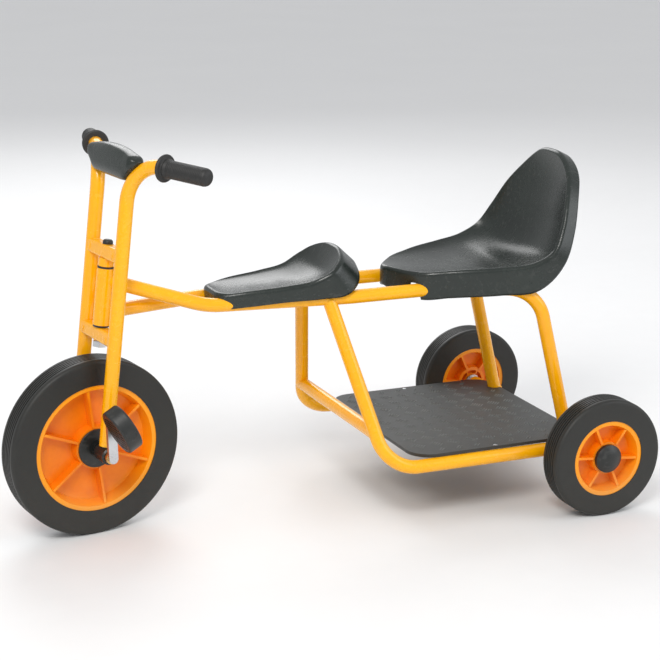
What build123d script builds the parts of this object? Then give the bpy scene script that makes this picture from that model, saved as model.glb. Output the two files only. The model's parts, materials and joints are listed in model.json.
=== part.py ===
from build123d import *
import os
from math import asin, atan2, cos, degrees, hypot, pi, radians, sin, sqrt

# Child's tricycle with a rear passenger seat and a foot platform, in millimetres.
# The front of the vehicle points along -X, its left side is -Y and +Z is up.
# Everything is first laid out with the front axle above X = 0 and the ground at Z = 0, and
# is then moved along X so that the origin lies under the middle of the overall length.

# ---------------------------------------------------------------- driving dimensions
wheelbase = 886.0
rear_track = 520.0            # between the middles of the rear tyres
steering_rake = 6.0           # degrees the steering axis leans back from vertical
steering_at_rest = 9.0        # degrees the handlebar is turned to the left as stored

tube_radius = 12.5            # all bent frame and fork tubes
tube_wall = 2.0
bend_radius = 72.0            # centreline radius of the tube bender

front_tyre_radius = 160.0
front_tyre_width = 51.0
front_lip_radius = 115.0
rear_tyre_radius = 110.0
rear_tyre_width = 50.0
rear_lip_radius = 70.5
tyre_shoulder = 7.0           # rounding between the tread and the side of a tyre
groove_depth = 2.2            # grooves that run round the tread
groove_width = 2.6
groove_count = 5
bead_depth = 5.0              # depth of the channel in the rim that holds the tyre
lip_width = 6.5
lip_recess = 1.5              # the rim's lips sit this far inside the side of the tyre
web_thickness = 5.0
rim_wall = 6.0
rib_thickness = 4.5
rib_count = 6
front_rib_angle = 104.1       # degrees from the fork's backward axis to the first rib
rear_rib_angle = 54.3
front_hub_radius = 38.0
rear_hub_radius = 30.0
front_hub_wall_recess = 3.0   # how far the hub's ends sit inside the lips
rear_hub_wall_recess = 4.0

running_gap = 0.08            # radial clearance of a shaft that turns in a bore
axial_gap = 0.6               # between the faces of parts that turn past each other
seat_gap = 0.5                # between the frame tubes and the moulded plastic round them

rail_height = 400.0           # centre of the main rails under both seats
rail_front_x = 205.0          # where the main rails level out
rail_front_half = 34.0
rail_mid_x = 462.0            # where the main rails run parallel
rail_mid_half = 66.0
rail_flare_x = 620.0          # where the main rails spread under the passenger seat
upright_top_x = 812.0
upright_top_half = 133.0
upright_foot_half = 138.0
lower_rail_to_tyre = 39.0     # from a lower rail's middle to the rear tyre's inner side
lower_rail_half = rear_track / 2 - rear_tyre_width / 2 - lower_rail_to_tyre
lower_rail_height = 111.0
stay_top_x = 425.0            # where the lower rails' stays meet the main rails
stay_foot_x = 485.0
cross_tube_height = 173.0

head_tube_radius = 15.0
head_tube_wall = 2.5
tyre_to_head = 57.0           # from the front tyre's tread up to the head tube
head_tube_foot = front_tyre_radius + tyre_to_head   # along the steering axis, from the axle
head_tube_length = 100.0
left_rail_on_head = head_tube_foot + 79.0
right_rail_on_head = head_tube_foot + 21.0
bush_flange = 3.0             # thickness of the head bushes' flanges
bush_wall = 3.0
bush_depth = 22.0

fork_half = 56.7              # from the mid plane to the middle of each fork tube
fork_foot = 15.0              # the fork tubes end this far above the axle
upper_crown_foot = head_tube_foot + head_tube_length + 18.0
grip_height = upper_crown_foot + 177.2   # along the steering axis
grip_sweep = 19.7             # degrees the handlebar ends sweep back
bar_end_length = 98.0         # straight length beyond the bend
crown_height = 24.0
crown_depth = 24.0
crown_edge = 5.0
crown_gap = 1.0               # between the lower crown and the lower bush flange
pin_radius = 8.0
pin_head_radius = 11.5
pin_head_height = 5.0

grip_radius = 15.4
grip_flange_radius = 23.7
grip_flange_width = 7.0
grip_end_wall = 4.0
grip_start = 3.5              # from the end of the bend to the grip's flange
pad_half_width = 88.0
pad_foot = grip_height - 34.2
pad_top = grip_height + 20.8
pad_half_depth = 13.5
pad_edge = 9.0

front_axle_radius = 8.0
bearing_radius = 15.0
bearing_length = 38.0
bearing_spigot = 26.0         # length that goes up inside the fork tube
hub_flange_radius = 35.0
hub_flange_width = 4.0
hub_neck_radius = 12.5
thrust_ring_width = 6.5
crank_length = 68.0
crank_angle = 9.0             # degrees the left crank leans forward of the steering axis
crank_width = 17.0
crank_thickness = 7.0
pedal_length = 72.0           # along the spindle
pedal_reach = 84.0            # across the spindle
pedal_thickness = 28.0
pedal_tilt = 62.0             # degrees from level
pedal_edge = 4.0
pedal_groove_pitch = 7.0
pedal_groove_width = 2.4
pedal_groove_depth = 2.0
spindle_radius = 5.0
spindle_head_radius = 8.0
pedal_gap = 5.0               # between the crank and the pedal block

rear_axle_radius = 8.0
axle_tube_radius = 14.0
axle_tube_wall = 3.5
washer_radius = 15.0
washer_thickness = 2.5
nut_across_flats = 19.0
nut_thickness = 6.0
rear_bush_wall = 3.0
rear_bush_flange = 2.0
hub_cap_radius = 26.0
hub_cap_rise = 9.0
hub_cap_stand_off = 1.5       # the cap's rim beyond the side of the tyre
hub_cap_wall = 2.5

board_front_x = 541.0
board_rear_x = 889.0
board_half_width = lower_rail_half - 1.0
board_thickness = 6.0
board_corner = 42.0
board_notch_gap = 1.5         # round the uprights
board_screw_x = 705.0
board_screw_inset = 7.0
screw_head_radius = 4.5
screw_head_height = 2.2
screw_radius = 2.4
screw_length = 14.0

strap_width = 22.0            # steel straps across the main rails under each seat
strap_thickness = 3.0
saddle_strap_x = (275.0, 385.0)
seat_strap_x = (640.0, 745.0)
strap_screw_spread = rail_front_half + 2.5 - tube_radius   # from the mid plane to each seat screw
boss_relief = 2.0             # clearance under the seats' dished tops
shell_wall = 4.0

# Each row is one rib-like section of a moulded seat: X and Z of its rim, half width, degrees
# that the surface has turned up, depth of the dish below the rim, depth of the side skirt.
saddle_sections = [
    (224.0, 420.0, 56.0, 2, 2.5, 27),
    (283.0, 424.0, 65.0, 4, 5, 28),
    (345.0, 429.0, 73.0, 8, 8, 29),
    (395.0, 437.0, 81.0, 18, 11, 38),
    (425.0, 453.0, 87.0, 34, 12, 55),
    (447.0, 474.0, 72.0, 44, 8, 52),
    (461.0, 486.0, 40.0, 50, 3, 38),
]
seat_sections = [
    (560.0, 430.0, 28.0, 0, 3, 38),
    (577.0, 434.0, 60.0, 0, 6, 46),
    (604.0, 436.0, 88.0, 0, 9, 50),
    (655.0, 437.0, 107.0, 0, 13, 51),
    (740.0, 438.0, 132.0, 4, 17, 52),
    (800.0, 445.0, 149.0, 14, 22, 52),
    (838.0, 464.0, 151.0, 42, 34, 34),
    (860.0, 503.0, 141.0, 68, 34, 28),
    (878.0, 562.0, 122.0, 74, 27, 26),
    (896.0, 608.0, 98.0, 70, 17, 26),
    (907.0, 629.0, 70.0, 62, 8, 24),
]
seat_notch_end = 603.0        # the seat's sides are cut away over the rails up to here

# ---------------------------------------------------------------- frames of reference
steering_axis_up = Vector(sin(radians(steering_rake)), 0, cos(radians(steering_rake)))
wheel_axis = Vector(0, 1, 0).rotate(Axis((0, 0, 0), steering_axis_up), steering_at_rest)


def tyre_reach(radius, width, axis_share):
    """How far a rounded tyre reaches from its centre along a direction whose cosine
    with the wheel's axis is axis_share."""
    flat_half = width / 2 - tyre_shoulder
    rim = (radius - tyre_shoulder) * sqrt(1 - axis_share**2)
    return rim + flat_half * abs(axis_share) + tyre_shoulder


front_axle_height = tyre_reach(front_tyre_radius, front_tyre_width, wheel_axis.Z)
front_reach = tyre_reach(front_tyre_radius, front_tyre_width, wheel_axis.X)
origin_x = (wheelbase + rear_tyre_radius - front_reach) / 2

# The fork is drawn upright: X points back, Y to the right and Z up the steering axis.
fork_plane = Plane(
    origin=(-origin_x, 0, front_axle_height),
    x_dir=(cos(radians(steering_rake)), 0, -sin(radians(steering_rake))),
    z_dir=tuple(steering_axis_up),
)
fork_place = fork_plane.location * Rot(0, 0, steering_at_rest)
head_place = fork_plane.location
frame_place = Location((-origin_x, 0, 0))


def on_steering_axis(distance):
    """The point on the steering axis that far above the front axle, before the final move."""
    return Vector(0, 0, front_axle_height) + steering_axis_up * distance


# ---------------------------------------------------------------- shape helpers
def rod(radius, y_from, y_to, x=0.0, z=0.0):
    """A round bar along Y."""
    length = abs(y_to - y_from)
    middle = (y_from + y_to) / 2
    return Pos(x, middle, z) * Rot(90, 0, 0) * Cylinder(radius, length)


def ring(outer, inner, y_from, y_to, x=0.0, z=0.0):
    """A round bar along Y with a bore."""
    over = 1.0
    low, high = min(y_from, y_to), max(y_from, y_to)
    return rod(outer, low, high, x, z) - rod(inner, low - over, high + over, x, z)


def swept(points, bends, radius):
    """A solid round bar along straight runs joined by tangent arcs."""
    path = FilletPolyline(*points, radius=bends) if bends else Polyline(*points)
    start = Plane(origin=path @ 0, z_dir=path % 0)
    return sweep(start * Circle(radius), path=path)


def bent_tube(points, bends, radius=tube_radius, wall=tube_wall):
    """A bent tube and the solid bar that fills it, used to cope the tubes that meet it."""
    bar = swept(points, bends, radius)
    return bar - swept(points, bends, radius - wall), bar


def mirrored(shape):
    """The same part on the other side of the vehicle."""
    return mirror(shape, about=Plane.XZ)


def solids_of(shape):
    """The shape's solids alone, as one compound."""
    return Compound(children=list(shape.solids()))


# ---------------------------------------------------------------- wheels
def tyre_profile(radius, width, lip_radius):
    """Half section of a tyre in the XY plane: X is the radius and Y runs across the tread."""
    half = width / 2
    bore = lip_radius - bead_depth
    bead_half = half - lip_recess - lip_width
    body = Pos((radius + lip_radius) / 2, 0) * Rectangle(radius - lip_radius, width)
    outer = body.vertices().group_by(Axis.X)[-1]
    section = fillet(outer, tyre_shoulder)
    section += Pos((bore + lip_radius) / 2, 0) * Rectangle(bead_depth, 2 * bead_half)
    pitch = (width - 2 * tyre_shoulder) / (groove_count + 1)
    for i in range(groove_count):
        across = (i - (groove_count - 1) / 2) * pitch
        section -= Pos(radius, across) * Rectangle(2 * groove_depth, groove_width)
    return section


def tyre(radius, width, lip_radius):
    """A solid rubber tyre that turns about Y."""
    return revolve(tyre_profile(radius, width, lip_radius), Axis.Y)


def rim_profile(width, lip_radius, hub_radius, hub_recess, bore):
    """Half section of a moulded rim: channel, flanges, web and hub."""
    half = width / 2 - lip_recess
    channel = lip_radius - bead_depth
    inner = channel - rim_wall
    bead_half = half - lip_width
    web_half = web_thickness / 2
    hub_half = half - hub_recess
    outline = [
        (bore, 0),
        (bore, hub_half),
        (hub_radius, hub_half),
        (hub_radius + 2, web_half),
        (inner - 4, web_half),
        (inner + 3, half),
        (lip_radius, half),
        (lip_radius, bead_half),
        (channel, bead_half),
        (channel, 0),
    ]
    upper = make_face(Polyline(*outline, close=True))
    return upper + mirror(upper, about=Plane.XZ)


def rim(width, lip_radius, hub_radius, hub_recess, bore, first_rib):
    """A moulded rim that turns about Y, with radial ribs on both sides of its web."""
    body = revolve(rim_profile(width, lip_radius, hub_radius, hub_recess, bore), Axis.Y)
    half = width / 2 - lip_recess
    reach = lip_radius - bead_depth - rim_wall + 2
    length = reach - hub_radius + 2
    rib_half = half - 1.5
    rib = Pos(hub_radius - 1 + length / 2, 0, 0) * Box(length, 2 * rib_half, rib_thickness)
    limit = rod(reach, -half, half)
    ribs = [Rot(0, -first_rib - i * 360 / rib_count, 0) * rib for i in range(rib_count)]
    return body + [r & limit for r in ribs]


def hub_spider(outer, inner, y_from, y_to, wall, count):
    """A short bushing carrier of two rings joined by small radial walls."""
    low, high = min(y_from, y_to), max(y_from, y_to)
    carrier = ring(outer, outer - wall, low, high) + ring(inner + wall, inner, low, high)
    middle = (low + high) / 2
    span = outer - inner - wall
    spoke = Pos(inner + wall / 2 + span / 2, middle, 0) * Box(span, high - low, wall)
    return carrier + [Rot(0, i * 360 / count, 0) * spoke for i in range(count)]


# ---------------------------------------------------------------- frame
def main_rail_points(side, on_head):
    """Corner points of one main rail: head tube, both seats, then down to the rear axle."""
    head = on_steering_axis(on_head)
    return [
        (head.X, side * 1.0, head.Z),
        (rail_front_x, side * rail_front_half, rail_height),
        (rail_mid_x, side * rail_mid_half, rail_height),
        (rail_flare_x, side * rail_mid_half, rail_height),
        (upright_top_x, side * upright_top_half, rail_height),
        (wheelbase, side * upright_foot_half, rear_tyre_radius),
    ]


def lower_rail_points(side):
    """Corner points of one lower rail: stay from the main rail, then back to the rear axle."""
    share = (stay_top_x - rail_front_x) / (rail_mid_x - rail_front_x)
    top_half = rail_front_half + share * (rail_mid_half - rail_front_half)
    return [
        (stay_top_x, side * top_half, rail_height),
        (stay_foot_x, side * lower_rail_half, lower_rail_height),
        (wheelbase, side * lower_rail_half, rear_tyre_radius),
    ]


def stay_point(side, height):
    """The point of a stay's centreline at that height."""
    top, foot = lower_rail_points(side)[:2]
    share = (height - top[2]) / (foot[2] - top[2])
    return tuple(a + share * (b - a) for a, b in zip(top, foot))


head_bar = head_place * Pos(0, 0, head_tube_foot + head_tube_length / 2) * Cylinder(
    head_tube_radius, head_tube_length
)
head_bore = head_tube_radius - head_tube_wall
head_tube = head_bar - head_place * Pos(0, 0, head_tube_foot + head_tube_length / 2) * Cylinder(
    head_bore, head_tube_length + 2
)

rail_bends = [160.0, 260.0, 140.0, bend_radius]
axle_tube_end = rear_track / 2 - rear_tyre_width / 2 - 9.0
axle_tube_bar = frame_place * rod(
    axle_tube_radius, -axle_tube_end, axle_tube_end, wheelbase, rear_tyre_radius
)
rear_axle_tube = axle_tube_bar - frame_place * rod(
    axle_tube_radius - axle_tube_wall, -axle_tube_end - 1, axle_tube_end + 1, wheelbase, rear_tyre_radius
)

main_rails = {}
main_bars = {}
lower_rails = {}
lower_bars = {}
for name, side, on_head in (("left", -1, left_rail_on_head), ("right", 1, right_rail_on_head)):
    tube, bar = bent_tube(main_rail_points(side, on_head), rail_bends)
    main_bars[name] = frame_place * bar
    main_rails[name] = frame_place * tube - head_bar - axle_tube_bar
for name, side in (("left", -1), ("right", 1)):
    tube, bar = bent_tube(lower_rail_points(side), [bend_radius])
    lower_bars[name] = frame_place * bar
    lower_rails[name] = frame_place * tube - main_bars[name] - axle_tube_bar
main_rails = {name: max(tube.solids(), key=lambda s: s.volume) for name, tube in main_rails.items()}
lower_rails = {name: max(tube.solids(), key=lambda s: s.volume) for name, tube in lower_rails.items()}

cross_ends = [stay_point(side, cross_tube_height) for side in (-1, 1)]
cross_tube, cross_bar = bent_tube(cross_ends, None)
cross_tube = frame_place * cross_tube - lower_bars["left"] - lower_bars["right"]


# ---------------------------------------------------------------- platform
board_top = lower_rail_height + tube_radius + board_thickness + 0.2
board_middle_x = (board_front_x + board_rear_x) / 2
board_blank = frame_place * Pos(board_middle_x, 0, board_top - board_thickness / 2) * Box(
    board_rear_x - board_front_x, 2 * board_half_width, board_thickness
)
board = fillet(board_blank.edges().filter_by(Axis.Z), board_corner)
for side in (-1, 1):
    upright = main_rail_points(side, right_rail_on_head)[-2:]
    board -= frame_place * swept(upright, None, tube_radius + board_notch_gap)
    stay = lower_rail_points(side)
    board -= frame_place * swept(stay, [bend_radius], tube_radius + 0.2)
board -= frame_place * rod(
    axle_tube_radius + 0.2, -axle_tube_end, axle_tube_end, wheelbase, rear_tyre_radius
)
board_screw_places = [(board_screw_x, side * (board_half_width - board_screw_inset)) for side in (-1, 1)]


def dome_screw(x, y, z):
    """A button-head screw pointing down, its head resting at height z."""
    head = Pos(x, y, z + screw_head_height / 2) * Cylinder(screw_head_radius, screw_head_height)
    head = fillet(head.edges().group_by(Axis.Z)[-1], screw_head_height * 0.8)
    shank = Pos(x, y, z - screw_length / 2) * Cylinder(screw_radius, screw_length)
    return head + shank


screw_seat = board_top - screw_head_height - 0.1
platform_screws = [frame_place * dome_screw(x, y, screw_seat) for x, y in board_screw_places]
for x, y in board_screw_places:
    pocket = Pos(x, y, screw_seat + board_thickness / 2) * Cylinder(
        screw_head_radius + 0.2, board_thickness
    )
    board -= frame_place * pocket
for screw in platform_screws:
    board -= screw
    for name in lower_rails:
        lower_rails[name] -= screw


# ---------------------------------------------------------------- moulded seats
def section_plane(row):
    """The plane of one cross-section: its X is across the vehicle and its Y is up."""
    x, z, turned = row[0], row[1], radians(row[3])
    return Plane(origin=(x, 0, z), x_dir=(0, 1, 0), z_dir=(cos(turned), 0, sin(turned)))


def section_outline(row, wall):
    """The wall of one cross-section: a dished top between two skirts, open underneath."""
    half, dish, skirt = row[2], row[4], row[5]
    low_half = half * 0.985
    inner = half - wall
    outer_arc = ThreePointArc((-half, 0), (0, -dish), (half, 0))
    inner_arc = ThreePointArc((inner, -wall), (0, -dish - wall), (-inner, -wall))
    right = Polyline((half, 0), (low_half, -skirt), (low_half - wall, -skirt), (inner, -wall))
    left = Polyline((-inner, -wall), (wall - low_half, -skirt), (-low_half, -skirt), (-half, 0))
    face = make_face([outer_arc, right, inner_arc, left])
    return fillet(face.vertices().group_by(Axis.Y)[-1], min(7.0, half * 0.3))


def section_cap(row):
    """The outer shape of one cross-section, for the plates that close the two ends."""
    half, dish, skirt = row[2], row[4], row[5]
    low_half = half * 0.985
    top = ThreePointArc((-half, 0), (0, -dish), (half, 0))
    rest = Polyline((half, 0), (low_half, -skirt), (-low_half, -skirt), (-half, 0))
    face = make_face([top, rest])
    return fillet(face.vertices().group_by(Axis.Y)[-1], min(7.0, half * 0.3))


def finer(rows):
    """The same sections with one more between each two, on a smooth curve through them."""
    result = [rows[0]]
    for i in range(len(rows) - 1):
        near, far = rows[i], rows[i + 1]
        before = rows[i - 1] if i > 0 else near
        after = rows[i + 2] if i + 2 < len(rows) else far
        middle = [
            (9 * (b + c) - a - d) / 16 for a, b, c, d in zip(before, near, far, after)
        ]
        result += [tuple(middle), far]
    return result


def moulded_shell(sections, wall):
    """A shell of even wall lofted through the sections, closed at both ends."""
    outlines = [section_plane(row) * section_outline(row, wall) for row in finer(sections)]
    shell = loft(outlines, ruled=True)
    front = section_plane(sections[0]) * extrude(section_cap(sections[0]), -wall)
    rear = section_plane(sections[-1]) * extrude(section_cap(sections[-1]), wall)
    return shell + front + rear


def rail_half_at(x):
    """Half the distance between the main rails at X."""
    if x <= rail_mid_x:
        share = (x - rail_front_x) / (rail_mid_x - rail_front_x)
        return rail_front_half + share * (rail_mid_half - rail_front_half)
    if x <= rail_flare_x:
        return rail_mid_half
    share = (x - rail_flare_x) / (upright_top_x - rail_flare_x)
    return rail_mid_half + share * (upright_top_half - rail_mid_half)


def shell_underside(sections, x):
    """Height of the underside of a shell on the mid plane at X, where it is nearly level."""
    for a, b in zip(sections, sections[1:]):
        if a[0] <= x <= b[0]:
            share = (x - a[0]) / (b[0] - a[0])
            dish = a[4] + share * (b[4] - a[4])
            return a[1] + share * (b[1] - a[1]) - dish - shell_wall
    raise ValueError("outside the shell")


saddle = moulded_shell(saddle_sections, shell_wall)
seat = moulded_shell(seat_sections, shell_wall)
rail_top = rail_height + tube_radius + seat_gap
saddle_front = saddle_sections[0][0]
seat_front = seat_sections[0][0]
for side in (-1, 1):
    opening = Pos(saddle_front, side * rail_half_at(saddle_front), rail_top - 30) * Box(
        4 * shell_wall, 2 * (tube_radius + seat_gap), 60
    )
    saddle -= opening
    notch_length = seat_notch_end - seat_front + 20
    notch_width = 100.0
    seat -= Pos(
        seat_notch_end - notch_length / 2,
        side * (rail_mid_half - tube_radius - seat_gap + notch_width / 2),
        rail_top - 30,
    ) * Box(notch_length, notch_width, 60)
saddle = frame_place * max(saddle.solids(), key=lambda s: s.volume)
seat = frame_place * max(seat.solids(), key=lambda s: s.volume)


def strap(x):
    """A flat steel strap welded across the tops of the two main rails."""
    half = rail_half_at(x)
    plate = Pos(x, 0, rail_height + tube_radius * 0.55) * Box(strap_width, 2 * half, strap_thickness)
    return plate


def seat_fixing(sections, x):
    """Two spacer bosses and the screws that pull a moulded seat down on its strap."""
    strap_top = rail_height + tube_radius * 0.55 + strap_thickness / 2
    under = shell_underside(sections, x) - boss_relief
    pairs = []
    for side in (-1, 1):
        y = side * strap_screw_spread
        boss = Pos(x, y, (strap_top + under) / 2) * Cylinder(7.0, under - strap_top - 1.0)
        grip = strap_top - strap_thickness
        head = Pos(x, y, grip - 2.0) * Cylinder(screw_head_radius + 1.5, 4.0)
        shank = Pos(x, y, grip + (under - grip) / 2) * Cylinder(screw_radius + 0.6, under - grip)
        pairs.append((boss - shank, head + shank))
    return pairs


straps = {}
seat_spacers = []
seat_screws = []
for owner, sections, places in (
    ("saddle", saddle_sections, saddle_strap_x),
    ("seat", seat_sections, seat_strap_x),
):
    for where, x in zip(("front", "rear"), places):
        plate = frame_place * strap(x)
        for boss, screw in seat_fixing(sections, x):
            seat_spacers.append(frame_place * boss)
            seat_screws.append(frame_place * screw)
            plate -= frame_place * screw
        plate = plate - main_bars["left"] - main_bars["right"]
        straps[f"{owner}_strap_{where}"] = max(plate.solids(), key=lambda s: s.volume)


# ---------------------------------------------------------------- steering head
def bush(foot, flange_up):
    """A flanged plastic bush pressed into one end of the head tube, drawn along Z."""
    bore = pin_radius + running_gap
    direction = 1 if flange_up else -1
    sleeve = Pos(0, 0, foot - direction * bush_depth / 2) * Cylinder(head_bore, bush_depth)
    flange = Pos(0, 0, foot + direction * bush_flange / 2) * Cylinder(
        head_tube_radius - 0.5, bush_flange
    )
    hole = Pos(0, 0, foot) * Cylinder(bore, 2 * (bush_depth + bush_flange + 2))
    return sleeve + flange - hole


head_top = head_tube_foot + head_tube_length
upper_bush = head_place * bush(head_top, True)
lower_bush = head_place * bush(head_tube_foot, False)

lower_crown_top = head_tube_foot - bush_flange - crown_gap
lower_crown_foot = lower_crown_top - crown_height


def fork_tube_points(side):
    """Corner points of one fork tube in the fork's own frame, from the axle to the grip."""
    sweep_back = radians(grip_sweep)
    corner = (0, side * fork_half, grip_height)
    reach = bend_radius + bar_end_length
    end = (reach * sin(sweep_back), side * (fork_half + reach * cos(sweep_back)), grip_height)
    return [(0, side * fork_half, fork_foot), corner, end]


fork_tubes = {}
fork_bars = {}
for name, side in (("left", -1), ("right", 1)):
    fork_tubes[name], fork_bars[name] = bent_tube(fork_tube_points(side), [bend_radius])


def crown(foot):
    """A rounded cross bar between the fork tubes, with a bore for the steering pin."""
    block = Pos(0, 0, foot + crown_height / 2) * Box(crown_depth, 2 * fork_half, crown_height)
    block = fillet(block.edges().filter_by(Axis.Y), crown_edge)
    hollow = Pos(0, 0, foot + crown_height / 2) * Box(
        crown_depth - 6, 2 * fork_half + 2, crown_height - 6
    )
    sleeve = Pos(0, 0, foot + crown_height / 2) * Cylinder(pin_radius + 3, crown_height - 1)
    hole = Pos(0, 0, foot) * Cylinder(pin_radius, 3 * crown_height)
    block = block - hollow + sleeve - hole
    for bar in fork_bars.values():
        block -= bar
    return max(block.solids(), key=lambda s: s.volume)


upper_crown = crown(upper_crown_foot)
lower_crown = crown(lower_crown_foot)
collar_foot = head_top + bush_flange + crown_gap / 2
crown_collar = Pos(0, 0, (collar_foot + upper_crown_foot) / 2) * (
    Cylinder(head_tube_radius - 1.5, upper_crown_foot - collar_foot)
    - Cylinder(pin_radius, 40)
)
pin_foot = lower_crown_foot - 12.0
pin_top = upper_crown_foot + crown_height
steering_pin = Pos(0, 0, (pin_foot + pin_top) / 2) * Cylinder(pin_radius, pin_top - pin_foot)
steering_pin += Pos(0, 0, pin_top + pin_head_height / 2) * Cylinder(7.0, pin_head_height)
pin_cap = Pos(0, 0, pin_top + 4.0) * Cylinder(9.0, 8.0)
pin_cap = fillet(pin_cap.edges().group_by(Axis.Z)[-1], 5.0) - steering_pin
pin_nut = Pos(0, 0, lower_crown_foot - 6.0) * extrude(RegularPolygon(13.0, 6), 5.0, both=True)
pin_nut -= steering_pin


# ---------------------------------------------------------------- handlebar
def along_bar_end(shape, side, distance):
    """Places a part drawn along Z on a handlebar end, that far beyond the bend."""
    sweep_back = radians(grip_sweep)
    direction = Vector(sin(sweep_back), side * cos(sweep_back), 0)
    start = Vector(0, side * fork_half, grip_height) + direction * (bend_radius + distance)
    return Plane(origin=tuple(start), z_dir=tuple(direction)).location * shape


def grip():
    """A rubber grip drawn along Z: flange, ringed sleeve and closed round end."""
    length = bar_end_length - grip_start + grip_end_wall
    sleeve = Pos(0, 0, length / 2) * Cylinder(grip_radius, length)
    sleeve = fillet(sleeve.edges().group_by(Axis.Z)[-1], 6.0)
    flange = Pos(0, 0, grip_flange_width / 2) * Cylinder(grip_flange_radius, grip_flange_width)
    flange = fillet(flange.edges().filter_by(GeomType.CIRCLE), 2.8)
    collar = Pos(0, 0, grip_flange_width + 3) * Cylinder(grip_radius + 2.0, 6.0)
    bore = Pos(0, 0, (length - grip_end_wall) / 2) * Cylinder(tube_radius, length - grip_end_wall)
    return sleeve + flange + collar - bore


grips = {
    name: along_bar_end(grip(), side, grip_start) for name, side in (("left", -1), ("right", 1))
}


def handlebar_pad():
    """The moulded cover between the two bends, shaped to hug the tubes."""
    middle = (pad_foot + pad_top) / 2
    block = Pos(0, 0, middle) * Box(2 * pad_half_depth, 2 * pad_half_width, pad_top - pad_foot)
    block = fillet(block.edges().filter_by(Axis.Y), pad_edge)
    for side in (-1, 1):
        block -= swept(fork_tube_points(side), [bend_radius], tube_radius + 0.3)
    return max(block.solids(), key=lambda s: s.volume)


pad = handlebar_pad()

# ---------------------------------------------------------------- front wheel and cranks
# Drawn in the fork's frame about the front axle, which lies along Y.
front_half = front_tyre_width / 2
front_hub_half = front_half - lip_recess - front_hub_wall_recess
bearing_inner = fork_half - bearing_length / 2
bearing_outer = fork_half + bearing_length / 2
crank_inner = bearing_outer + thrust_ring_width + axial_gap
crank_outer = crank_inner + crank_thickness
front_tyre = tyre(front_tyre_radius, front_tyre_width, front_lip_radius)
front_rim = rim(
    front_tyre_width,
    front_lip_radius,
    front_hub_radius,
    front_hub_wall_recess,
    front_axle_radius,
    front_rib_angle,
)
front_axle = rod(front_axle_radius, -crank_outer, crank_outer)


def hub_flange(side):
    """The black cover disc and ringed neck that space the wheel from the fork."""
    face = front_hub_half
    outer = bearing_inner - axial_gap
    part = rod(hub_flange_radius, side * face, side * (face + hub_flange_width))
    part = fillet(part.edges().filter_by(GeomType.CIRCLE), 1.5)
    part += rod(hub_neck_radius, side * face, side * outer)
    pitch = 3.6
    for i in range(3):
        at = outer - 1.0 - i * pitch
        part += rod(hub_neck_radius + 1.8, side * at, side * (at - 2.0))
    return part - rod(front_axle_radius, -200, 200)


def axle_bearing(side):
    """The plastic block that closes a fork tube and carries the front axle."""
    block = rod(bearing_radius, side * bearing_inner, side * bearing_outer)
    block = chamfer(block.edges().filter_by(GeomType.CIRCLE), 2.5)
    spigot_top = fork_foot + bearing_spigot
    spigot = Pos(0, side * fork_half, spigot_top / 2) * Cylinder(
        tube_radius - tube_wall, spigot_top
    )
    return block + spigot - rod(front_axle_radius + running_gap, -200, 200)


def crank(side, lean):
    """A flat crank arm with round ends, pressed on the front axle."""
    low, high = sorted((side * crank_inner, side * crank_outer))
    across = high - low
    middle = (low + high) / 2
    arm = Pos(0, middle, crank_length / 2) * Box(crank_width, across, crank_length)
    arm += rod(crank_width / 2, low, high) + rod(crank_width / 2, low, high, 0, crank_length)
    arm -= rod(front_axle_radius, -200, 200) + rod(spindle_radius, low - 1, high + 1, 0, crank_length)
    return Rot(0, lean, 0) * arm


def crank_end(lean):
    """Where the pedal spindle's axis crosses the plane of the wheel."""
    return Vector(crank_length * sin(radians(lean)), 0, crank_length * cos(radians(lean)))


def pedal_spindle(side, lean):
    """The stub that is riveted in the crank and carries a pedal."""
    end = crank_end(lean)
    tip = crank_outer + pedal_gap + pedal_length - 4.0
    pin = rod(spindle_radius, side * crank_inner, side * tip, end.X, end.Z)
    shoulder = rod(spindle_head_radius, side * crank_outer, side * (crank_outer + 3.0), end.X, end.Z)
    head = rod(spindle_head_radius, side * tip, side * (tip - 2.5), end.X, end.Z)
    return pin + shoulder + head


def pedal_block(side, lean):
    """An oval pedal with ribbed treads, free to turn on its spindle."""
    end = crank_end(lean)
    inner = crank_outer + pedal_gap
    middle = side * (inner + pedal_length / 2)
    oval = extrude(Ellipse(pedal_reach / 2, pedal_length / 2), pedal_thickness / 2, both=True)
    oval = fillet(oval.edges(), pedal_edge)
    border = 8.0
    well = extrude(
        Ellipse(pedal_reach / 2 - border, pedal_length / 2 - border), pedal_groove_depth
    )
    count = int((pedal_reach / 2 - border) // pedal_groove_pitch)
    cuts = []
    for i in range(-count, count + 1):
        bar = Pos(i * pedal_groove_pitch, 0, pedal_groove_depth / 2) * Box(
            pedal_groove_width, pedal_length, pedal_groove_depth
        )
        cuts.append(well & bar)
    for face in (pedal_thickness / 2 - pedal_groove_depth, -pedal_thickness / 2):
        for cut in cuts:
            oval -= Pos(0, 0, face) * cut
    placed = Pos(end.X, middle, end.Z) * Rot(0, pedal_tilt - steering_rake, 0) * oval
    tip = crank_outer + pedal_gap + pedal_length
    placed -= rod(
        spindle_radius + running_gap, side * (crank_outer - 5), side * tip + side * 5, end.X, end.Z
    )
    pocket = rod(spindle_head_radius + 0.6, side * (tip - 8.0), side * (tip + 5.0), end.X, end.Z)
    return placed - pocket


def pedal_plug(side, lean):
    """The disc that closes the outer end of a pedal."""
    end = crank_end(lean)
    tip = crank_outer + pedal_gap + pedal_length
    return rod(spindle_head_radius + 0.6, side * (tip - 3.2), side * (tip - 0.8), end.X, end.Z)


# The left crank leans forward of the steering axis and the right one is opposite.
leans = {"left": -crank_angle, "right": 180.0 - crank_angle}
sides = {"left": -1, "right": 1}

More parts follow.
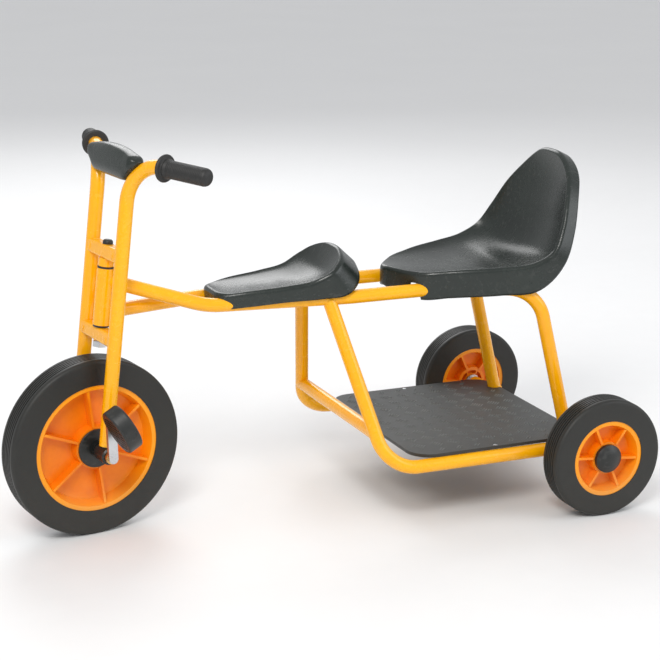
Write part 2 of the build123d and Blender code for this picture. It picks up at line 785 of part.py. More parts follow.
# ---------------------------------------------------------------- rear wheels
rear_half = rear_tyre_width / 2
rear_hub_half = rear_half - lip_recess - rear_hub_wall_recess
rear_bush_radius = rear_axle_radius + rear_bush_wall
carrier_outer = rear_hub_radius - 5.0
axle_end = rear_track / 2 + rear_hub_half + rear_bush_flange + washer_thickness + nut_thickness - 0.5


def rear_wheel_rim():
    """A rear rim with a hub of two rings joined by small walls, bored for its bushes."""
    part = rim(
        rear_tyre_width,
        rear_lip_radius,
        rear_hub_radius,
        rear_hub_wall_recess,
        rear_bush_radius,
        rear_rib_angle,
    )
    pocket_depth = rear_hub_half - web_thickness
    for side in (-1, 1):
        low, high = sorted((side * (rear_hub_half - pocket_depth + 4), side * (rear_hub_half + 1)))
        part -= ring(carrier_outer, rear_bush_radius + 4.0, low, high)
        part += hub_spider(
            carrier_outer + 1.0,
            rear_bush_radius + 3.0,
            side * (rear_hub_half - pocket_depth + 4),
            side * rear_hub_half,
            2.5,
            6,
        )
    return part - rod(rear_bush_radius, -200, 200)


def rear_wheel_bushes():
    """Two flanged bushes pressed in the hub from its two ends."""
    parts = []
    for side in (-1, 1):
        sleeve = rod(rear_bush_radius, side * 3.0, side * rear_hub_half)
        flange = rod(rear_bush_radius + 2.5, side * rear_hub_half, side * (rear_hub_half + rear_bush_flange))
        parts.append(sleeve + flange - rod(rear_axle_radius + running_gap, -200, 200))
    return parts


def hub_cap():
    """A domed snap-in cap on the outer (+Y) side of a rear wheel."""
    base = rear_half + hub_cap_stand_off
    sphere_radius = (hub_cap_radius**2 + hub_cap_rise**2) / (2 * hub_cap_rise)
    centre = base + hub_cap_rise - sphere_radius
    lens = Pos(0, centre, 0) * Sphere(sphere_radius)
    inner = Pos(0, centre, 0) * Sphere(sphere_radius - hub_cap_wall)
    dome = (lens - inner) & rod(hub_cap_radius, base, base + 2 * hub_cap_rise)
    skirt = ring(hub_cap_radius, hub_cap_radius - hub_cap_wall, rear_hub_half + 0.2, base)
    return dome + skirt


def nut(side):
    """A hexagon nut on one end of the rear axle."""
    inner = rear_hub_half + rear_bush_flange + washer_thickness + axial_gap
    across = nut_across_flats / 2 / cos(pi / 6)
    body = Rot(90, 0, 0) * extrude(RegularPolygon(across, 6), nut_thickness / 2, both=True)
    return Pos(0, side * (inner + nut_thickness / 2), 0) * body


wheel_nodes = {}
rear_washers = []
rear_nuts = []
for name, side in sides.items():
    at = Location((wheelbase - origin_x, side * rear_track / 2, rear_tyre_radius))
    turned = Location((0, 0, 0)) if side > 0 else Rot(0, 0, 180)
    wheel_nodes[f"rear_{name}_tyre"] = at * tyre(rear_tyre_radius, rear_tyre_width, rear_lip_radius)
    wheel_nodes[f"rear_{name}_rim"] = at * rear_wheel_rim()
    wheel_nodes[f"rear_{name}_wheel_bushes"] = Compound(
        children=[at * b for b in rear_wheel_bushes()]
    )
    wheel_nodes[f"rear_{name}_hub_cap"] = at * turned * hub_cap()
    bore = rear_axle_radius
    flange_face = rear_hub_half + rear_bush_flange
    inner_from = -side * (flange_face + axial_gap / 2)
    inner_to = -side * (rear_track / 2 - axle_tube_end)
    outer_from = side * (flange_face + axial_gap / 2)
    outer_to = side * (flange_face + axial_gap + washer_thickness)
    rear_washers.append(at * ring(washer_radius, bore, inner_from, inner_from - side * washer_thickness))
    rear_washers.append(at * ring(axle_tube_radius - 2, bore, inner_from - side * washer_thickness, inner_to))
    rear_washers.append(at * ring(washer_radius, bore, outer_from, outer_to))
    rear_nuts.append(at * (nut(side) - rod(rear_axle_radius, -200, 200)))

rear_axle = frame_place * rod(rear_axle_radius, -axle_end, axle_end, wheelbase, rear_tyre_radius)
axle_collars = [
    frame_place
    * ring(
        axle_tube_radius - axle_tube_wall,
        rear_axle_radius,
        side * axle_tube_end,
        side * (axle_tube_end - 15.0),
        wheelbase,
        rear_tyre_radius,
    )
    for side in (-1, 1)
]

# ---------------------------------------------------------------- every node
nodes = {
    "head_tube": head_tube,
    "left_main_rail": main_rails["left"],
    "right_main_rail": main_rails["right"],
    "left_lower_rail": lower_rails["left"],
    "right_lower_rail": lower_rails["right"],
    "platform_cross_tube": cross_tube,
    "rear_axle_tube": rear_axle_tube,
    "rear_axle_collars": Compound(children=axle_collars),
    "rear_axle": rear_axle,
    "rear_axle_washers": Compound(children=rear_washers),
    "rear_axle_nuts": Compound(children=rear_nuts),
    "platform_board": board,
    "platform_screws": Compound(children=platform_screws),
    "saddle": saddle,
    "passenger_seat": seat,
    "seat_spacers": Compound(children=seat_spacers),
    "seat_screws": Compound(children=seat_screws),
    "upper_head_bush": upper_bush,
    "lower_head_bush": lower_bush,
    "upper_crown": fork_place * upper_crown,
    "lower_crown": fork_place * lower_crown,
    "crown_collar": fork_place * crown_collar,
    "steering_pin": fork_place * steering_pin,
    "steering_pin_cap": fork_place * pin_cap,
    "steering_pin_nut": fork_place * pin_nut,
    "handlebar_pad": fork_place * pad,
    "front_tyre": fork_place * front_tyre,
    "front_rim": fork_place * front_rim,
    "front_axle": fork_place * front_axle,
    **straps,
    **wheel_nodes,
}
for name, side in sides.items():
    lean = leans[name]
    nodes[f"{name}_fork_tube"] = fork_place * fork_tubes[name]
    nodes[f"{name}_grip"] = fork_place * grips[name]
    nodes[f"{name}_axle_bearing"] = fork_place * axle_bearing(side)
    nodes[f"{name}_thrust_ring"] = fork_place * ring(
        bearing_radius - 4.0, front_axle_radius, side * (crank_inner), side * (bearing_outer + axial_gap)
    )
    nodes[f"{name}_hub_flange"] = fork_place * hub_flange(side)
    nodes[f"{name}_crank_arm"] = fork_place * crank(side, lean)
    nodes[f"{name}_pedal_spindle"] = fork_place * pedal_spindle(side, lean)
    nodes[f"{name}_pedal_block"] = fork_place * pedal_block(side, lean)
    nodes[f"{name}_pedal_plug"] = fork_place * pedal_plug(side, lean)

os.makedirs("parts", exist_ok=True)
for name, shape in nodes.items():
    export_step(solids_of(shape), f"parts/{name}.step")
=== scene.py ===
"""Looks of a child's tandem tricycle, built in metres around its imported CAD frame."""

import json

import bmesh
import bpy
import numpy as np
from mathutils import Matrix, Vector


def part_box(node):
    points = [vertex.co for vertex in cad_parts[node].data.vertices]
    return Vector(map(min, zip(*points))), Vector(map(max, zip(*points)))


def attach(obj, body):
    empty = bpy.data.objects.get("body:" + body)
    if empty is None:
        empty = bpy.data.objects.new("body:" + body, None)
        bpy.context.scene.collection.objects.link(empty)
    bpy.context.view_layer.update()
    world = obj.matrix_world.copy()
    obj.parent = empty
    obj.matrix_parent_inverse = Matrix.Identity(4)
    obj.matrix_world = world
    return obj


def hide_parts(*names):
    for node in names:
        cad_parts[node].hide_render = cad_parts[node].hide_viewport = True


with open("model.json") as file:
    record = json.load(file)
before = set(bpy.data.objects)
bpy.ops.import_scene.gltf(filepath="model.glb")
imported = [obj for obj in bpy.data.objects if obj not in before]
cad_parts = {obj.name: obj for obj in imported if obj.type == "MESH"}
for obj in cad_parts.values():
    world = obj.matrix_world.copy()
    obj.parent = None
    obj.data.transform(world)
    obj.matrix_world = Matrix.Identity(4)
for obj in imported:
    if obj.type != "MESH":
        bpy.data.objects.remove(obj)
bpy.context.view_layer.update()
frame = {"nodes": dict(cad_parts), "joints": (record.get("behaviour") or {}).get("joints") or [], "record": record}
joints = {joint["name"]: joint for joint in frame["joints"]}

# ------------------------------------------------------------ places read from the frame
steering_up = np.array(joints["steering"]["axis"], float)
wheel_across = np.array(joints["front_wheel_spin"]["axis"], float)
front_axle = np.array(joints["front_wheel_spin"]["pos_m"], float)
fork_back = np.cross(wheel_across, steering_up)
rear_axles = {
    side: np.array(joints[f"rear_{side}_wheel_spin"]["pos_m"], float) for side in ("left", "right")
}
front_axle_offset = front_axle[0]  # the seats' sections are measured from above the front axle


def fork_points(points):
    """Points given as back, across and up from the front axle, along the turned fork."""
    turned = np.stack([fork_back, wheel_across, steering_up])
    return np.asarray(points, float) @ turned + front_axle


# ------------------------------------------------------------ meshes
def new_piece(name, vertices, faces, material, body, smooth=True):
    """A mesh piece from whole arrays of vertices and quads, riding on a CAD body."""
    mesh = bpy.data.meshes.new(name)
    quads = np.asarray(faces, np.int32)
    mesh.vertices.add(len(vertices))
    mesh.vertices.foreach_set("co", np.asarray(vertices, np.float32).ravel())
    mesh.loops.add(quads.size)
    mesh.loops.foreach_set("vertex_index", quads.ravel())
    mesh.polygons.add(len(quads))
    size = quads.shape[1]
    mesh.polygons.foreach_set("loop_start", np.arange(0, quads.size, size, dtype=np.int32))
    mesh.polygons.foreach_set("loop_total", np.full(len(quads), size, np.int32))
    mesh.polygons.foreach_set("use_smooth", np.full(len(quads), smooth))
    mesh.update(calc_edges=True)
    mesh.validate()
    mesh.materials.append(material)
    piece = bpy.data.objects.new(name, mesh)
    bpy.context.scene.collection.objects.link(piece)
    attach(piece, body)
    return piece


def close_seams(piece, distance=1e-6):
    """Merges the doubled points at a surface's seam and poles, then turns faces outwards."""
    work = bmesh.new()
    work.from_mesh(piece.data)
    bmesh.ops.remove_doubles(work, verts=work.verts, dist=distance)
    bmesh.ops.dissolve_degenerate(work, dist=distance, edges=work.edges)
    bmesh.ops.recalc_face_normals(work, faces=work.faces)
    work.to_mesh(piece.data)
    work.free()


def grid_faces(rows, columns, wrap):
    """Quads of a grid of rows by columns, joined from last to first column when wrap is set."""
    row, column = np.meshgrid(
        np.arange(rows - 1), np.arange(columns if wrap else columns - 1), indexing="ij"
    )
    after = (column + 1) % columns
    corners = [row * columns + column, row * columns + after]
    corners += [(row + 1) * columns + after, (row + 1) * columns + column]
    return np.stack(corners, -1).reshape(-1, 4)


def smooth_table(places, values, wanted):
    """A smooth curve through a table: cubic pieces whose slopes are those of the
    neighbouring points joined by a chord."""
    places, values = np.asarray(places, float), np.asarray(values, float)
    slopes = np.gradient(values, places)
    index = np.clip(np.searchsorted(places, wanted) - 1, 0, len(places) - 2)
    width = places[index + 1] - places[index]
    t = (wanted - places[index]) / width
    a, b = values[index], values[index + 1]
    rise_a, rise_b = slopes[index] * width, slopes[index + 1] * width
    return (
        (2 * t**3 - 3 * t**2 + 1) * a
        + (t**3 - 2 * t**2 + t) * rise_a
        + (3 * t**2 - 2 * t**3) * b
        + (t**3 - t**2) * rise_b
    )


def turned_ring(name, profile, centre, axis, material, body, sides=96):
    """A profile of distance along an axis and radius, carried round that axis."""
    axis = np.asarray(axis, float) / np.linalg.norm(axis)
    helper = np.array([0.0, 0.0, 1.0]) if abs(axis[2]) < 0.9 else np.array([1.0, 0.0, 0.0])
    first = np.cross(axis, helper)
    first /= np.linalg.norm(first)
    second = np.cross(axis, first)
    profile = np.asarray(profile, float)
    angle = np.linspace(0, 2 * np.pi, sides, endpoint=False)
    round_dir = np.cos(angle)[:, None] * first + np.sin(angle)[:, None] * second
    points = centre + profile[:, None, :1] * axis + profile[:, None, 1:] * round_dir
    piece = new_piece(
        name, points.reshape(-1, 3), grid_faces(len(profile), sides, True), material, body
    )
    close_seams(piece)
    return piece


# ------------------------------------------------------------ shader groups
def new_group(name, inputs, outputs):
    """An empty shader group with named float or vector sockets."""
    group = bpy.data.node_groups.new(name, "ShaderNodeTree")
    for socket, kind, value in inputs:
        made = group.interface.new_socket(socket, in_out="INPUT", socket_type=kind)
        made.default_value = value
    for socket, kind in outputs:
        group.interface.new_socket(socket, in_out="OUTPUT", socket_type=kind)
    return group, group.nodes.new("NodeGroupInput"), group.nodes.new("NodeGroupOutput")


def add(tree, kind, **values):
    """A shader node with its plain settings."""
    node = tree.nodes.new(kind)
    for key, value in values.items():
        setattr(node, key, value)
    return node


def noise(tree, vector, scale, detail, roughness=0.5):
    """A noise texture whose scale is a number or a socket."""
    node = add(tree, "ShaderNodeTexNoise")
    tree.links.new(vector, node.inputs["Vector"])
    node.inputs["Detail"].default_value = detail
    node.inputs["Roughness"].default_value = roughness
    if isinstance(scale, (int, float)):
        node.inputs["Scale"].default_value = scale
    else:
        tree.links.new(scale, node.inputs["Scale"])
    return node.outputs["Fac"]


def math(tree, operation, a, b=0.0, clamp=False):
    """A math node on two numbers or sockets."""
    node = add(tree, "ShaderNodeMath", operation=operation, use_clamp=clamp)
    for slot, value in enumerate((a, b)):
        if isinstance(value, (int, float)):
            node.inputs[slot].default_value = value
        else:
            tree.links.new(value, node.inputs[slot])
    return node.outputs[0]


def make_drift():
    """Slow drift of colour plus small mottling: wide noise and finer noise, added."""
    group, given, out = new_group(
        "colour_drift",
        [("Vector", "NodeSocketVector", (0, 0, 0)), ("Wide", "NodeSocketFloat", 6.0)],
        [("Factor", "NodeSocketFloat")],
    )
    wide = noise(group, given.outputs["Vector"], given.outputs["Wide"], 3.0)
    fine = noise(group, given.outputs["Vector"], math(group, "MULTIPLY", given.outputs["Wide"], 14.0), 4.0)
    total = math(group, "ADD", math(group, "MULTIPLY", wide, 0.65), math(group, "MULTIPLY", fine, 0.35))
    spread = math(group, "MULTIPLY", math(group, "SUBTRACT", total, 0.33), 3.0, clamp=True)
    group.links.new(spread, out.inputs["Factor"])
    return group


def make_grain():
    """Moulded grain: rounded cells plus a finer noise, as a height."""
    group, given, out = new_group(
        "moulded_grain",
        [("Vector", "NodeSocketVector", (0, 0, 0)), ("Cells", "NodeSocketFloat", 900.0)],
        [("Height", "NodeSocketFloat")],
    )
    cells = add(group, "ShaderNodeTexVoronoi", feature="SMOOTH_F1")
    cells.inputs["Smoothness"].default_value = 0.6
    group.links.new(given.outputs["Vector"], cells.inputs["Vector"])
    group.links.new(given.outputs["Cells"], cells.inputs["Scale"])
    fine = noise(group, given.outputs["Vector"], math(group, "MULTIPLY", given.outputs["Cells"], 2.0), 3.0)
    total = math(group, "ADD", cells.outputs["Distance"], math(group, "MULTIPLY", fine, 0.4))
    group.links.new(total, out.inputs["Height"])
    return group


def make_scuffs():
    """Fine scuffs: long thin streaks of stretched noise, kept only at their peaks."""
    group, given, out = new_group(
        "fine_scuffs",
        [("Vector", "NodeSocketVector", (0, 0, 0)), ("Amount", "NodeSocketFloat", 0.5)],
        [("Mask", "NodeSocketFloat")],
    )
    streak = add(group, "ShaderNodeMapping")
    streak.inputs["Scale"].default_value = (40.0, 260.0, 90.0)
    streak.inputs["Rotation"].default_value = (0.4, 0.2, 0.7)
    group.links.new(given.outputs["Vector"], streak.inputs["Vector"])
    value = noise(group, streak.outputs["Vector"], 1.0, 5.0, 0.6)
    peak = math(group, "MULTIPLY", math(group, "SUBTRACT", value, 0.56), 9.0, clamp=True)
    group.links.new(math(group, "MULTIPLY", peak, given.outputs["Amount"]), out.inputs["Mask"])
    return group


def make_floor_dust():
    """Dust that thins out with height above the floor, broken up by noise."""
    group, given, out = new_group(
        "floor_dust",
        [("Vector", "NodeSocketVector", (0, 0, 0)), ("Reach", "NodeSocketFloat", 0.12)],
        [("Mask", "NodeSocketFloat")],
    )
    parts = add(group, "ShaderNodeSeparateXYZ")
    group.links.new(given.outputs["Vector"], parts.inputs["Vector"])
    height = math(group, "DIVIDE", parts.outputs["Z"], given.outputs["Reach"])
    fade = math(group, "SUBTRACT", 1.0, height, clamp=True)
    patches = noise(group, given.outputs["Vector"], 60.0, 5.0, 0.65)
    group.links.new(math(group, "MULTIPLY", fade, patches, clamp=True), out.inputs["Mask"])
    return group


def make_wheel_radius():
    """How far a point is from a wheel's centre, from 0 at one radius to 1 at another."""
    group, given, out = new_group(
        "wheel_radius",
        [
            ("Vector", "NodeSocketVector", (0, 0, 0)),
            ("Centre", "NodeSocketVector", (0, 0, 0)),
            ("From", "NodeSocketFloat", 0.05),
            ("To", "NodeSocketFloat", 0.1),
        ],
        [("Factor", "NodeSocketFloat")],
    )
    far = add(group, "ShaderNodeVectorMath", operation="DISTANCE")
    group.links.new(given.outputs["Vector"], far.inputs[0])
    group.links.new(given.outputs["Centre"], far.inputs[1])
    past = math(group, "SUBTRACT", far.outputs["Value"], given.outputs["From"])
    span = math(group, "SUBTRACT", given.outputs["To"], given.outputs["From"])
    group.links.new(math(group, "DIVIDE", past, span, clamp=True), out.inputs["Factor"])
    return group


drift_group = make_drift()
grain_group = make_grain()
scuff_group = make_scuffs()
dust_group = make_floor_dust()
radius_group = make_wheel_radius()


class Finish:
    """One material under construction: its tree, shader and object coordinates."""

    def __init__(self, name, dark, light, rough, metallic=0.0, drift=6.0):
        self.material = bpy.data.materials.new(name)
        self.material.use_nodes = True
        self.material.diffuse_color = (*light, 1.0)
        self.tree = self.material.node_tree
        self.shader = self.tree.nodes["Principled BSDF"]
        self.place = add(self.tree, "ShaderNodeTexCoord").outputs["Object"]
        self.shader.inputs["Metallic"].default_value = metallic
        self.drift = self.use(drift_group, "Factor", Wide=drift)
        self.colour = self.mix(self.drift, (*dark, 1.0), (*light, 1.0))
        low, high = rough
        spread = math(self.tree, "MULTIPLY", self.drift, high - low)
        self.rough = math(self.tree, "ADD", spread, low)
        self.height = None

    def use(self, group, output, **values):
        """Places a group on the object coordinates and returns one of its outputs."""
        node = add(self.tree, "ShaderNodeGroup", node_tree=group)
        self.tree.links.new(self.place, node.inputs["Vector"])
        for key, value in values.items():
            node.inputs[key].default_value = value
        return node.outputs[output]

    def mix(self, factor, a, b):
        """Mixes two colours, or a colour socket and a colour, by a mask."""
        node = add(self.tree, "ShaderNodeMix", data_type="RGBA")
        self.tree.links.new(factor, node.inputs[0])
        for slot, value in ((6, a), (7, b)):
            if isinstance(value, tuple):
                node.inputs[slot].default_value = value
            else:
                self.tree.links.new(value, node.inputs[slot])
        return node.outputs[2]

    def tint(self, mask, colour):
        """Lays a colour over the base where the mask is set."""
        self.colour = self.mix(mask, self.colour, (*colour, 1.0))

    def roughen(self, mask, amount):
        """Adds to the roughness where the mask is set."""
        self.rough = math(self.tree, "ADD", self.rough, math(self.tree, "MULTIPLY", mask, amount), True)

    def bump(self, height, distance, strength=1.0):
        """Adds one bump layer, in metres of relief."""
        node = add(self.tree, "ShaderNodeBump")
        node.inputs["Distance"].default_value = distance
        node.inputs["Strength"].default_value = strength
        self.tree.links.new(height, node.inputs["Height"])
        if self.height is not None:
            self.tree.links.new(self.height, node.inputs["Normal"])
        self.height = node.outputs["Normal"]

    def done(self, coat=0.0, coat_rough=0.05, ior=1.5):
        """Connects everything to the shader and gives the material."""
        self.tree.links.new(self.colour, self.shader.inputs["Base Color"])
        self.tree.links.new(self.rough, self.shader.inputs["Roughness"])
        if self.height is not None:
            self.tree.links.new(self.height, self.shader.inputs["Normal"])
        self.shader.inputs["Coat Weight"].default_value = coat
        self.shader.inputs["Coat Roughness"].default_value = coat_rough
        self.shader.inputs["IOR"].default_value = ior
        return self.material


# ------------------------------------------------------------ finishes
def yellow_powder_coat():
    """Glossy powder coat with slight orange peel and a few fine scuffs."""
    finish = Finish("yellow_powder_coat", (0.93, 0.40, 0.0), (0.98, 0.46, 0.0), (0.2, 0.3))
    scuffs = finish.use(scuff_group, "Mask", Amount=0.25)
    finish.tint(scuffs, (0.98, 0.52, 0.04))
    finish.roughen(scuffs, 0.25)
    peel = noise(finish.tree, finish.place, 420.0, 2.0)
    finish.bump(peel, 0.00012)
    return finish.done(coat=0.4, coat_rough=0.06, ior=1.4)


def orange_rim_plastic(name, centre, inner, outer):
    """Moulded orange plastic with a painted highlight that lightens it out at the lip; deep in the web it keeps
    its redder base colour.
    """
    finish = Finish(name, (0.82, 0.19, 0.0), (0.90, 0.24, 0.0), (0.3, 0.42), drift=10.0)
    # Painted highlight: a lighter orange laid on towards the lip, where the rounded edge catches the light.
    painted_lip_highlight = finish.use(radius_group, "Factor", Centre=tuple(centre), From=inner, To=outer)
    finish.tint(painted_lip_highlight, (0.95, 0.33, 0.004))
    scuffs = finish.use(scuff_group, "Mask", Amount=0.3)
    finish.roughen(scuffs, 0.2)
    dust = finish.use(dust_group, "Mask", Reach=0.1)
    finish.tint(dust, (0.62, 0.33, 0.14))
    finish.bump(finish.use(grain_group, "Height", Cells=700.0), 0.00005)
    return finish.done(coat=0.05, coat_rough=0.2, ior=1.42)


def tyre_rubber():
    """Solid rubber, greyer where it meets the floor."""
    finish = Finish("tyre_rubber", (0.009, 0.009, 0.008), (0.016, 0.016, 0.013), (0.42, 0.58), drift=14.0)
    dust = finish.use(dust_group, "Mask", Reach=0.26)
    finish.tint(dust, (0.035, 0.034, 0.029))
    finish.roughen(dust, 0.2)
    finish.bump(finish.use(grain_group, "Height", Cells=500.0), 0.00012)
    return finish.done()


def black_moulding(name, dark, light, rough, cells, relief, scuff):
    """Black moulded plastic: grain, faint scuffs and drifting gloss."""
    finish = Finish(name, dark, light, rough, drift=9.0)
    scuffs = finish.use(scuff_group, "Mask", Amount=scuff)
    finish.tint(scuffs, (0.06, 0.062, 0.058))
    finish.roughen(scuffs, 0.15)
    finish.bump(finish.use(grain_group, "Height", Cells=cells), relief)
    return finish.done()


def board_moulding():
    """Black board: fine lines crossing on the slant, and patches of light dust over it."""
    finish = Finish("board_moulding", (0.014, 0.016, 0.015), (0.028, 0.031, 0.029), (0.38, 0.52), drift=9.0)
    turn = add(finish.tree, "ShaderNodeMapping")
    turn.inputs["Rotation"].default_value = (0.0, 0.0, np.pi / 4)
    finish.tree.links.new(finish.place, turn.inputs["Vector"])
    lines = add(finish.tree, "ShaderNodeTexWave", wave_type="BANDS", bands_direction="X")
    lines.inputs["Scale"].default_value = 120.0
    finish.tree.links.new(turn.outputs["Vector"], lines.inputs["Vector"])
    finish.bump(lines.outputs["Fac"], 0.0003)
    dust = finish.use(dust_group, "Mask", Reach=0.4)
    finish.tint(dust, (0.05, 0.052, 0.048))
    finish.bump(finish.use(grain_group, "Height", Cells=800.0), 0.00008)
    return finish.done()


def bright_metal(name, dark, light, rough):
    """Plated or turned metal with fine tool marks."""
    finish = Finish(name, dark, light, rough, metallic=1.0, drift=30.0)
    scuffs = finish.use(scuff_group, "Mask", Amount=0.6)
    finish.roughen(scuffs, 0.2)
    finish.bump(noise(finish.tree, finish.place, 900.0, 3.0), 0.00004)
    return finish.done()


paint = yellow_powder_coat()
tyre_black = tyre_rubber()
seat_black = black_moulding(
    "seat_moulding", (0.010, 0.014, 0.012), (0.018, 0.025, 0.021), (0.2, 0.3), 620.0, 0.0001, 0.35
)
plain_black = black_moulding(
    "plain_black_moulding", (0.010, 0.011, 0.010), (0.020, 0.021, 0.020), (0.32, 0.45), 900.0, 0.0001, 0.4
)
grip_rubber = black_moulding(
    "grip_rubber", (0.012, 0.012, 0.012), (0.022, 0.022, 0.021), (0.45, 0.6), 1200.0, 0.00012, 0.2
)
bush_plastic = black_moulding(
    "bush_plastic", (0.016, 0.016, 0.016), (0.03, 0.03, 0.03), (0.4, 0.5), 1000.0, 0.00006, 0.2
)
board_black = board_moulding()
# The tread bars' grey base colour, far lighter than the black board, is a painted sheen: it stands in for the
# light that the glossy raised bars reflect.
tread_painted_sheen = black_moulding(
    "tread_bar_painted_sheen", (0.10, 0.11, 0.104), (0.15, 0.162, 0.154), (0.22, 0.32), 900.0, 0.00005, 0.5
)
zinc = bright_metal("bright_zinc", (0.52, 0.53, 0.55), (0.68, 0.69, 0.70), (0.22, 0.36))
brass = bright_metal("turned_brass", (0.62, 0.38, 0.13), (0.78, 0.52, 0.22), (0.24, 0.36))
front_orange = orange_rim_plastic("front_rim_orange", front_axle, 0.088, 0.112)
rear_orange = {
    side: orange_rim_plastic(f"rear_{side}_rim_orange", rear_axles[side], 0.05, 0.072)
    for side in ("left", "right")
}

slot_finishes = {
    "frame": paint,
    "tyre": tyre_black,
    "grip": grip_rubber,
    "seat": seat_black,
    "black_plastic": plain_black,
    "bush_plastic": bush_plastic,
    "brass": brass,
    "zinc": zinc,
}
node_slots = {entry["node"]: entry["material_slot"] for entry in frame["record"]["subparts"]}


def finish_of(node):
    """The material that one CAD node shows."""
    if node == "front_rim":
        return front_orange
    if node.endswith("_rim"):
        return rear_orange["left" if "left" in node else "right"]
    if node == "platform_board":
        return board_black
    return slot_finishes[node_slots[node]]


for node, piece in frame["nodes"].items():
    piece.data.materials.clear()
    piece.data.materials.append(finish_of(node))

# ------------------------------------------------------------ moulded seats
rolled_edge = 0.008
shell_wall = 0.0038

# Columns: distance back from the front axle, height of the rim, half width, degrees the
# surface has turned up, dish below the rim, skirt, all in millimetres.
saddle_sections = np.array([
    (220, 420, 56, 2, 2.5, 27),
    (283, 424, 65, 4, 5, 28),
    (345, 429, 73, 8, 8, 29),
    (395, 437, 81, 18, 11, 38),
    (425, 453, 87, 34, 12, 55),
    (447, 474, 72, 44, 8, 52),
    (461, 486, 44, 50, 3, 38),
], float)
seat_sections = np.array([
    (558, 430, 34, 0, 3, 30),
    (577, 434, 60, 0, 6, 42),
    (604, 436, 88, 0, 9, 50),
    (655, 437, 107, 0, 13, 51),
    (740, 438, 132, 4, 17, 52),
    (800, 445, 149, 14, 22, 52),
    (838, 464, 151, 42, 34, 34),
    (860, 503, 141, 68, 34, 28),
    (878, 562, 122, 74, 27, 26),
    (896, 608, 100, 70, 17, 26),
    (909, 634, 82, 62, 8, 24),
], float)


def smooth_step(value, low, high):
    """Goes from 0 at low to 1 at high, level at both."""
    t = np.clip((value - low) / (high - low), 0, 1)
    return t * t * (3 - 2 * t)


def moulded_seat(name, sections, squareness, node, rim_rise, notch_end, notch_height):
    """A seat pressed from one sheet. A spine runs back through the sections; at each point
    the sheet reaches across by the half width and sags to the dish as one minus the square
    of the share across. The sheet is mapped from a disc: rings out to a rounded square in
    (along, across), then a quarter-round roll, then the skirt square to the sheet."""
    rings, around = 40, 240
    table = sections.copy()
    table[:, [0, 1, 2, 4, 5]] /= 1000.0
    table[:, 0] += front_axle_offset
    run = np.concatenate([[0], np.cumsum(np.hypot(*np.diff(table[:, :2], axis=0).T))])
    angle = np.linspace(0, 2 * np.pi, around, endpoint=False)[None, :]
    share = np.sin(np.linspace(0, 1, rings) * np.pi / 2)[:, None]
    reach = (np.abs(np.cos(angle)) ** squareness + np.abs(np.sin(angle)) ** squareness) ** (
        -1 / squareness
    )
    along = share * reach * np.cos(angle)
    across = share * reach * np.sin(angle)

    def sheet(along, across):
        """Points of the sheet and its upward directions."""
        edge = rolled_edge
        at = (along + 1) / 2 * (run[-1] - 2 * edge) + edge
        x, z, half, turned, dish, skirt = (
            smooth_table(run, table[:, column], at) for column in range(6)
        )
        turned = np.radians(turned)
        up = np.stack([-np.sin(turned), np.zeros_like(at), np.cos(turned)], -1)
        sag = dish * (1 - across**2) * (1 - 0.55 * np.abs(along) ** 6)
        lifted = rim_rise * (np.maximum(np.abs(across), np.abs(along)) ** 14)
        points = np.stack([x, across * (half - edge), z], -1) + up * (lifted - sag)[..., None]
        return points, up, skirt

    top, up, skirt = sheet(along, across)
    rim, rim_up, rim_skirt = top[-1], up[-1], skirt[-1]
    inward, _, _ = sheet(along[-1] * 0.97, across[-1] * 0.97)
    out = rim - inward
    out -= np.sum(out * rim_up, -1, keepdims=True) * rim_up
    out /= np.linalg.norm(out, axis=-1, keepdims=True)
    bend = np.linspace(0, np.pi / 2, 9)[1:, None, None]
    roll = rim + out * rolled_edge * np.sin(bend) - rim_up * rolled_edge * (1 - np.cos(bend))
    drop = np.linspace(0, 1, 10)[1:, None, None] * (rim_skirt - rolled_edge)[None, :, None]
    hem = roll[-1] - rim_up * drop
    points = np.concatenate([top, roll, hem])
    beside = smooth_step(np.abs(points[..., 1]), 0.048, 0.054)
    ahead = 1 - smooth_step(points[..., 0] - front_axle_offset, notch_end - 0.003, notch_end)
    lift = np.maximum(notch_height - points[..., 2], 0) * beside * ahead
    points[..., 2] += lift
    faces = grid_faces(len(points), around, True)
    piece = new_piece(name, points.reshape(-1, 3), faces, seat_black, "frame")
    close_seams(piece)
    wall = piece.modifiers.new("wall", "SOLIDIFY")
    wall.thickness = shell_wall
    wall.offset = -1.0
    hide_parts(node)
    return piece


moulded_seat("saddle_shell", saddle_sections, 5.0, "saddle", 0.0025, 0.0, 0.0)
moulded_seat(
    "passenger_seat_shell", seat_sections, 3.4, "passenger_seat", 0.007, 0.603, 0.4135
)

# ------------------------------------------------------------ grips
fork_half = 0.0567
bar_height = 0.5122
bar_bend = 0.072
bar_sweep = np.radians(19.7)
grip_start = 0.0035
grip_length = 0.0985
grip_radius = 0.0148
bar_radius = 0.0125


